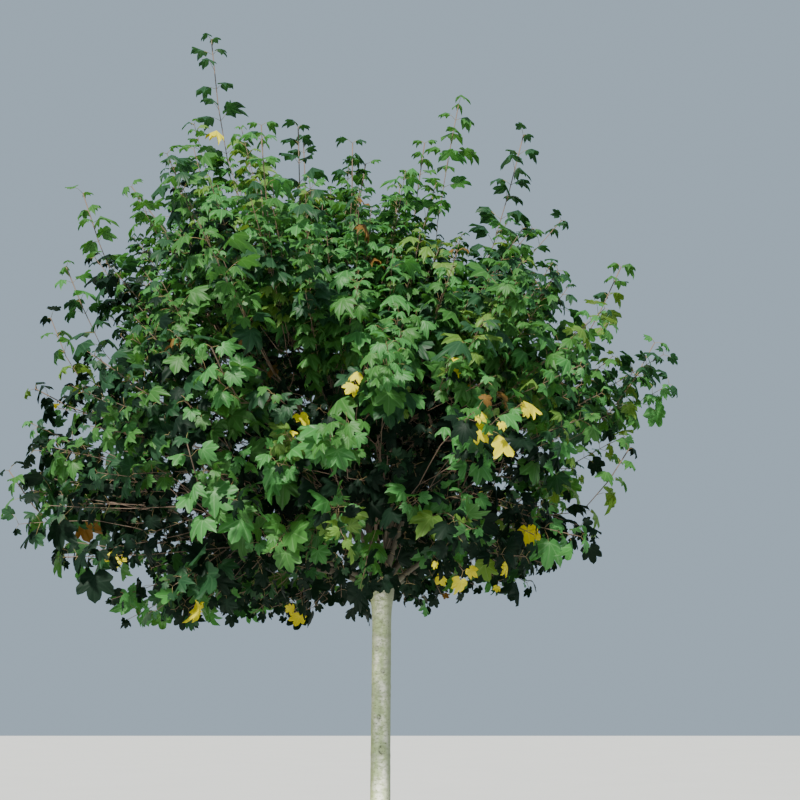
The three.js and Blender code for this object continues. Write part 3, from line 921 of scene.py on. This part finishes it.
# Stops of a ramp: a place along its pattern and the strength there
VEIN_STOPS = [(0.0, 1), (0.012, 0.75), (0.035, 0)]
QUILT_STOPS = [(0.0, 0), (0.08, 1)]
BLOTCH_STOPS = [(0.38, 0), (0.6, 1)]
STREAK_STOPS = [(0.34, 1), (0.56, 0)]
# Where the painted shade at the trunk's left and right edges lies across it
LEFT_SHADE_STOPS = [(0.1, 0.9), (0.4, 0)]
RIGHT_SHADE_STOPS = [(0.72, 0), (0.96, 0.9)]
PORE_STOPS = [(0.1, 1), (0.2, 0)]
ROUGH_STOPS = [(0.4, 0), (0.6, 1)]
BARK_ROUGHNESS = [(0, 0.85), (1, 0.7)]

# Bark colours and patterns
BARK_PALE = colour(255, 255, 234)
BARK_OLIVE = colour(206, 222, 166)
BARK_STREAK = colour(160, 174, 126)
# Painted shade towards the trunk's left edge, tinted olive, and towards its right edge
BARK_LEFT_SHADE = colour(160, 170, 110)
BARK_RIGHT_SHADE = colour(128, 138, 110)
BARK_PORE = colour(84, 78, 62)
BARK_SCAR = colour(70, 72, 56)
# Brown bough bark, darkened with painted shade where the head and boughs sit under the crown
BOUGH_SHADED_DARK = colour(46, 44, 34)
BOUGH_SHADED_LIGHT = colour(84, 78, 60)
TWIG_DARK = colour(78, 62, 50)
TWIG_LIGHT = colour(130, 108, 90)
STALK_DARK = colour(112, 104, 62)
STALK_LIGHT = colour(150, 126, 84)
STREAKS = (42, 42, 76)
STREAK_DETAIL = 5.0
STREAK_ROUGHNESS = 0.6
BLOTCHES = (30, 30, 14)
BLOTCH_DETAIL = 4.0
PORES = (42, 42, 115)
PORE_SHARE = 0.8
ACROSS_TRUNK = 10  # one over the trunk's thickness
STREAK_HEIGHT = 0.7
PORE_HEIGHT = 0.5
BARK_BUMP = (0.0025, 0.8)  # distance and strength
FLECKS = (30, 30, 30)
FLECK_DETAIL = 4.0
TWIG_BUMP = (0.001, 0.4)
TWIG_ROUGHNESS = 0.62


def off_vein(finish):
    """How far a point of a leaf is from the nearest of the main veins, which start at its root."""
    leaf = finish.node("ShaderNodeUVMap")
    across = finish.part(leaf, "X").maths("ABSOLUTE")
    along = finish.part(leaf, "Y")
    angle = across.maths("ARCTAN2", along)
    reach = (across * across + along * along).maths("SQRT")
    nearest = None
    for end in VEIN_ENDS:
        off = ((angle - math.radians(end)).maths("SINE") * reach).maths("ABSOLUTE")
        nearest = nearest.maths("MINIMUM", off) if nearest else off
    return nearest


def leaf_finish(name, blade, vein, glow, shine):
    """A leaf blade with paler veins, that lets some light through."""
    finish = Finish(name)
    off = off_vein(finish)
    patches = finish.noise(finish.place(), PATCH_SCALE)
    patched = finish.mix(patches, *(toned(blade, tone) for tone in PATCH_TONES))
    base = finish.mix(finish.ramp(off, VEIN_STOPS) * VEIN_SHARE, patched, vein)
    normal = finish.bump(finish.ramp(off, QUILT_STOPS), QUILT_HEIGHT, QUILT_STRENGTH)
    skin = finish.skin(base, LEAF_ROUGHNESS, normal, shine)
    through = finish.node("ShaderNodeBsdfTranslucent", None, {"Color": glow})
    return finish.surface(finish.node("ShaderNodeMixShader", None, {0: SEE_THROUGH, 1: skin, 2: through}))


def bark_finish():
    """Pale grey-olive bark, upright streaks, small dark lenticels, painted shade towards the trunk's left
    and right edges, and browner bark darkened with painted shade on the head and boughs.
    """
    finish = Finish("pale bark")
    place = finish.place()
    streaks = finish.noise(finish.stretched(place, STREAKS), 1.0, STREAK_DETAIL, STREAK_ROUGHNESS)
    blotches = finish.noise(finish.stretched(place, BLOTCHES), 1.0, BLOTCH_DETAIL)
    cells = {"Vector": finish.stretched(place, PORES), "Scale": 1.0, "Randomness": 1.0}
    pores = finish.ramp(finish.node("ShaderNodeTexVoronoi", {"feature": "F1"}, cells), PORE_STOPS)
    across = finish.part(place, "X") * ACROSS_TRUNK + 0.5
    scars = finish.mark("scars") * finish.ramp(streaks, ROUGH_STOPS)
    base = finish.mix(finish.ramp(blotches, BLOTCH_STOPS), BARK_PALE, BARK_OLIVE)
    base = finish.mix(finish.ramp(streaks, STREAK_STOPS), base, BARK_STREAK)
    # Painted shade: olive grey towards the trunk's left edge and dark grey towards its right edge
    base = finish.mix(finish.ramp(across, LEFT_SHADE_STOPS), base, BARK_LEFT_SHADE)
    base = finish.mix(finish.ramp(across, RIGHT_SHADE_STOPS), base, BARK_RIGHT_SHADE)
    base = finish.mix(pores * PORE_SHARE, base, BARK_PORE)
    base = finish.mix(scars, base, BARK_SCAR)
    # Painted shade: the head and boughs take a brown bark darkened as if in the crown's shadow
    shaded_brown = finish.mix(streaks, BOUGH_SHADED_DARK, BOUGH_SHADED_LIGHT)
    base = finish.mix(finish.mark("youth"), base, shaded_brown)
    normal = finish.bump(streaks * STREAK_HEIGHT - pores * PORE_HEIGHT, *BARK_BUMP)
    return finish.surface(finish.skin(base, finish.ramp(streaks, BARK_ROUGHNESS), normal))


def twig_finish(name, dark, light):
    """Smooth young bark with fine upright flecks."""
    finish = Finish(name)
    flecks = finish.noise(finish.stretched(finish.place(), FLECKS), 1.0, FLECK_DETAIL)
    base = finish.mix(flecks, dark, light)
    return finish.surface(finish.skin(base, TWIG_ROUGHNESS, finish.bump(flecks, *TWIG_BUMP)))


# Trunk and boughs as one piece of bark


def trunk_form():
    """A cylinder with many rings, drawn to the trunk's bow, taper, flare and graft head."""
    deselect_all()
    height = TRUNK_TOP + ROOT_DEPTH
    bpy.ops.mesh.primitive_cylinder_add(vertices=TRUNK_SIDES, radius=1, depth=height, end_fill_type="TRIFAN")
    trunk = bpy.context.object
    bpy.ops.object.mode_set(mode="EDIT")
    bpy.ops.mesh.select_mode(type="EDGE")
    bpy.ops.mesh.select_all(action="DESELECT")
    bpy.ops.object.mode_set(mode="OBJECT")
    for edge in trunk.data.edges:
        low, high = (trunk.data.vertices[i].co.z for i in edge.vertices)
        edge.select = abs(low - high) > height / 2
    bpy.ops.object.mode_set(mode="EDIT")
    bpy.ops.mesh.subdivide(number_cuts=TRUNK_RINGS)
    bpy.ops.object.mode_set(mode="OBJECT")
    for corner in trunk.data.vertices:
        share = (corner.co.z + height / 2) / height
        z = share * height - ROOT_DEPTH
        level = max(z, 0)
        x, y = corner.co.x, corner.co.y
        turn = FLARE_LOBES * math.atan2(x, -y) + FLARE_TURN
        lobes = FLARE_LOBE_DEPTH * math.cos(turn) * math.exp(-level / FLARE_HEIGHT)
        radius = trunk_radius(level) + lobes
        centre = trunk_centre(level)
        corner.co = (centre.x + x * radius, centre.y + y * radius, z)
    return trunk


def boughs_form():
    """All boughs as tapering tubes."""
    tubes = [(limb_frames(mass["bough"], BOUGH_SIDE), bough_radii(mass), BOUGH_SIDES) for mass in MASSES]
    return joined_tubes("boughs", tubes)


def apply_modifier(piece, kind, **settings):
    bpy.context.view_layer.objects.active = piece
    made = piece.modifiers.new(kind.title(), kind)
    for key, value in settings.items():
        setattr(made, key, value)
    bpy.ops.object.modifier_apply(modifier=made.name)


def limbs_form():
    """Trunk and boughs grown into one mesh, with the flat cut at ground level."""
    trunk = trunk_form()
    boughs = boughs_form()
    deselect_all()
    boughs.select_set(True)
    trunk.select_set(True)
    bpy.context.view_layer.objects.active = trunk
    bpy.ops.object.transform_apply(location=True, rotation=True, scale=True)
    bpy.ops.object.join()
    apply_modifier(trunk, "REMESH", mode="VOXEL", voxel_size=BARK_VOXEL, use_smooth_shade=True)
    apply_modifier(trunk, "SMOOTH", factor=BARK_SMOOTHING, iterations=BARK_SMOOTHINGS)
    bpy.ops.object.mode_set(mode="EDIT")
    bpy.ops.mesh.select_all(action="SELECT")
    bpy.ops.mesh.bisect(plane_co=(0, 0, 0), plane_no=(0, 0, 1), clear_inner=True, use_fill=True)
    bpy.ops.object.mode_set(mode="OBJECT")
    return trunk


def turn_from_front(point):
    axis = trunk_centre(point.z)
    return math.atan2(point.x - axis.x, -(point.y - axis.y))


def scar_share(point):
    """1 on the rim and in the middle of an old branch scar, less along the year rings, else 0."""
    if point.z > TRUNK_TOP - MARKS_END:
        return 0
    here = turn_from_front(point)
    mark = 0
    for height, turn, size in KNOTS:
        round_way = (here - turn + math.pi) % (2 * math.pi) - math.pi
        away = math.hypot((point.z - height) * KNOT_FLATNESS, round_way * TRUNK_RADIUS) / size
        rim = math.exp(-(((away - KNOT_RIM) * KNOT_RIM_SHARPNESS) ** 2))
        mark += rim + KNOT_EYE * math.exp(-((away * KNOT_EYE_SHARPNESS) ** 2))
    wave = RING_WAVE * math.sin(RING_WAVE_TURNS * here + RING_WAVE_SLOPE * point.z)
    for height in YEAR_RINGS:
        mark += RING_MARK * math.exp(-(((point.z - height + wave) / RING_WIDTH) ** 2))
    return min(mark, 1)


def grain(point, across, up):
    return noise.noise(Vector((point.x * across, point.y * across, point.z * up)))


def bark_relief(point):
    """How far the bark stands out at a point: long ridges, fine furrows, scars and rings."""
    rough = RIDGE_DEPTH * grain(point, *RIDGES) + FURROW_DEPTH * grain(point, *FURROWS)
    return (rough + MARK_DEPTH * scar_share(point)) * min(1, point.z / RELIEF_FOOT)


def shaded_bough_share(point):
    """0 on the trunk, 1 on its head and the boughs, whose bark is browner and darkened with painted shade.
    """
    return share_of(point.z, *HEAD_PART)


def trunk_and_boughs():
    trunk = limbs_form()
    mesh = trunk.data
    places = [corner.co.copy() for corner in mesh.vertices]
    normals = [corner.normal.copy() for corner in mesh.vertices]
    raised = [place + normal * bark_relief(place) for place, normal in zip(places, normals)]
    mesh.vertices.foreach_set("co", np.array(raised).ravel())
    mesh.update()
    for name, share in (("youth", shaded_bough_share), ("scars", scar_share)):
        values = [share(place) for place in places]
        mesh.attributes.new(name, "FLOAT", "POINT").data.foreach_set("value", values)
    trunk.name = "trunk_and_boughs"
    return trunk


trunk = trunk_and_boughs()
trunk.data.materials.clear()
trunk.data.materials.append(bark_finish())
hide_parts("trunk", *(f"bough_{mass['name']}" for mass in MASSES))
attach(trunk, "root")

# Twigs and leaf stalks


def twig_tube(twig):
    sides = THICK_TWIG_SIDES if twig["radii"][0] > THICK_TWIG else THIN_TWIG_SIDES
    return twig["frames"], twig["radii"], sides


def stalk_tube(leaf):
    points = [leaf["root"], leaf["bend"], leaf["end"]]
    return limb_frames(points, leaf["light"]), [STALK_RADIUS * taper for taper in STALK_TAPER], STALK_SIDES


twig_piece = joined_tubes("twigs", [twig_tube(twig) for twig in twigs])
twig_piece.data.materials.append(twig_finish("young bark", TWIG_DARK, TWIG_LIGHT))
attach(twig_piece, "root")

stalk_piece = joined_tubes("leaf_stalks", [stalk_tube(leaf) for leaf in leaves])
stalk_piece.data.materials.append(twig_finish("leaf stalk", STALK_DARK, STALK_LIGHT))
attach(stalk_piece, "root")

# Leaves, each colour apart

# Where turned leaves hang as seen from the front: across and up
TURNED = {
    "yellow": [(-0.12, 2.86), (-0.34, 2.69), (0.58, 2.64), (0.4, 2.64), (0.58, 2.11), (0.4, 2.04),
               (-0.44, 1.96), (0.28, 2.02), (-0.79, 1.97), (0.73, 2.3), (0.67, 2.8), (0.35, 2.98)],
    "russet": [(-0.86, 3.05), (-0.02, 3.59), (-0.05, 3.82), (-0.51, 3.04), (0.51, 2.79), (0.37, 3.49)],
}
TURNED_AT_PLACE = 2
AWAY_WEIGHT = 11
ASIDE_WEIGHT = 0.6
LARGE_LEAF = 0.09
LARGE_WEIGHT = 9  # so that no large leaf turns
SEEN_PART = -0.3  # in front of this only the leaves above have turned
LATE = {"yellow": 0.008, "russet": 0.012}  # a leaf turns into the first whose limit its chance is below

# The share of each green in an outer spray: a start, and what the spray's place adds. The place paints light
# and shade: more yellow-green leaves high up and on the right as painted light, and more dark leaves low
# down, in the lower left and at the top right as painted shade
SHARES = {
    "fresh": {"start": 0.04, "high": 0.1, "right": 0.12, "dim": -0.3, "top right": -0.1},
    "shade": {"low": 0.32, "dim": 0.4},
    "deep": {"start": 0.24, "low": -0.22, "dim": 0.4, "top right": 0.45},
    "cool": {"start": 0.3, "high": -0.2, "dim": -0.25},
}
SPRAY_FOOT = 2.2
SPRAY_HEIGHT = 2.4
LOW_PART = (2.3, 0.9)  # height up to which a spray is low, and how much further it no longer is
INNER_SHADE = (0.5, 0.4)  # the share of near-black leaves inside, painted shade, and what the lowest part adds
# dim: how far a spray lies in the crown's lower left, where its leaves are darkened as painted shade
DIM_ACROSS = -1.1
DIM_START = 0.45
DIM_HEIGHT = 0.5
DIM_MOST = {0: 0.8, -1: 0.2}  # by the shoot's depth
NEW_SHADE = 0.75  # above this a leaf starts the next shade of its spray


def spray_place(tip, depth):
    """How high, low or far right a spray stands, and how far into the lower left part, where leaves are
    darkened with painted shade.
    """
    high = (tip.z - SPRAY_FOOT) / SPRAY_HEIGHT
    right = max(tip.x, 0)
    dim = max(DIM_ACROSS * tip.x - DIM_START - DIM_HEIGHT * high, 0)
    return {"start": 1, "high": high, "low": 1 - share_of(tip.z, *LOW_PART), "right": right * (1 - high),
            "top right": right * high, "dim": min(dim, DIM_MOST.get(depth, 0))}


def spray_kind(shoot, draw):
    """The shade of green of one shoot's leaves, by its place in the crown, which paints light and shade on
    the crown.
    """
    chance = draw.random()
    place = spray_place(shoot["tip"], shoot["depth"])
    # Leaves inside and under the crown take only the dark greens, as painted shade
    if shoot["depth"] > 0:
        return "shade" if chance < gained(INNER_SHADE, place["low"]) else "deep"
    for kind, gains in SHARES.items():
        share = sum(gain * place[part] for part, gain in gains.items())
        if chance < share:
            return kind
        chance -= share
    return "green"


def unlikeness(leaf, x, z):
    """How badly a leaf stands for one seen at a place: away from it, behind, edge on or large."""
    middle = leaf_middle(leaf)
    away = math.hypot(middle.x - x, middle.z - z)
    aside = 1 - abs(unit(leaf["light"]).y)
    large = LARGE_WEIGHT if leaf["size"] > LARGE_LEAF else 0
    return AWAY_WEIGHT * away + middle.y + ASIDE_WEIGHT * aside + large


def turned_leaves():
    """The leaves that have turned: the foremost ones at each place that the viewer sees."""
    turned = {}
    for kind, places in TURNED.items():
        for x, z in places:
            ordered = sorted(leaves, key=lambda leaf: unlikeness(leaf, x, z))
            for leaf in ordered[:TURNED_AT_PLACE]:
                turned[id(leaf)] = kind
    return turned


def late_kind(leaf, chance):
    """What one of the few leaves that turn out of the viewer's sight turns into, else None."""
    if leaf["end"].y < SEEN_PART:
        return None
    return next((kind for kind, most in LATE.items() if chance < most), None)


def sorted_leaves():
    draw = random.Random(SEED + 2)
    by_kind = {kind: [] for kind in KINDS}
    turned = turned_leaves()
    shades = {}
    for leaf in leaves:
        key = id(leaf["shoot"])
        chance = draw.random()
        if key not in shades or chance > NEW_SHADE:
            shades[key] = spray_kind(leaf["shoot"], draw)
        kind = turned.get(id(leaf)) or late_kind(leaf, chance) or shades[key]
        by_kind[kind].append(leaf)
    return by_kind


foliage_nodes = [f"foliage_{mass['name']}" for mass in MASSES]
for kind, rows in sorted_leaves().items():
    piece = joined_leaves(f"leaves_{kind}", rows)
    piece.data.materials.append(leaf_finish(f"{kind} leaf", *KINDS[kind]))
    if kind == "green":
        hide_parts(*foliage_nodes)
    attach(piece, "root")

# Floor, light and camera
FLOOR_SIZE = 120
FLOOR_DARK = (0.58, 0.58, 0.56, 1)
FLOOR_LIGHT = (0.63, 0.63, 0.61, 1)
FLOOR_GRAIN = 0.6
FLOOR_ROUGHNESS = 0.9
SKY_COLOUR = (0.66, 0.84, 1.0, 1)
SKY_STRENGTH = 0.56
SUN_FROM = Vector((-0.22, -0.7, 0.72))
SUN_COLOUR = (1.0, 0.96, 0.88)
SUN_STRENGTH = 8.8
SUN_WIDTH = 5  # degrees
CAMERA_PLACE = (0.1, -7.0, 1.6)
CAMERA_TILT = 11.8  # degrees above the horizon
CAMERA_LENS = 64.6
SENSOR_WIDTH = 36


def add_stage():
    deselect_all()
    bpy.ops.mesh.primitive_plane_add(size=FLOOR_SIZE, location=(0, 0, 0))
    floor = bpy.context.object
    floor.name = "floor"
    finish = Finish("pale floor")
    base = finish.mix(finish.noise(finish.place(), FLOOR_GRAIN), FLOOR_DARK, FLOOR_LIGHT)
    floor.data.materials.append(finish.surface(finish.skin(base, FLOOR_ROUGHNESS)))


def add_light():
    world = bpy.data.worlds.new("soft sky")
    world.use_nodes = True
    background = world.node_tree.nodes["Background"]
    background.inputs["Color"].default_value = SKY_COLOUR
    background.inputs["Strength"].default_value = SKY_STRENGTH
    bpy.context.scene.world = world
    sun = bpy.data.lights.new("key light", "SUN")
    sun.energy = SUN_STRENGTH
    sun.angle = math.radians(SUN_WIDTH)
    sun.color = SUN_COLOUR
    key = bpy.data.objects.new("key light", sun)
    key.rotation_euler = SUN_FROM.to_track_quat("Z", "Y").to_euler()
    bpy.context.scene.collection.objects.link(key)


def add_camera():
    camera = bpy.data.cameras.new("camera")
    camera.sensor_width = SENSOR_WIDTH
    camera.lens = CAMERA_LENS
    view = bpy.data.objects.new("camera", camera)
    view.location = CAMERA_PLACE
    view.rotation_euler = (math.radians(90 + CAMERA_TILT), 0, 0)
    bpy.context.scene.collection.objects.link(view)
    bpy.context.scene.camera = view


add_stage()
add_light()
add_camera()
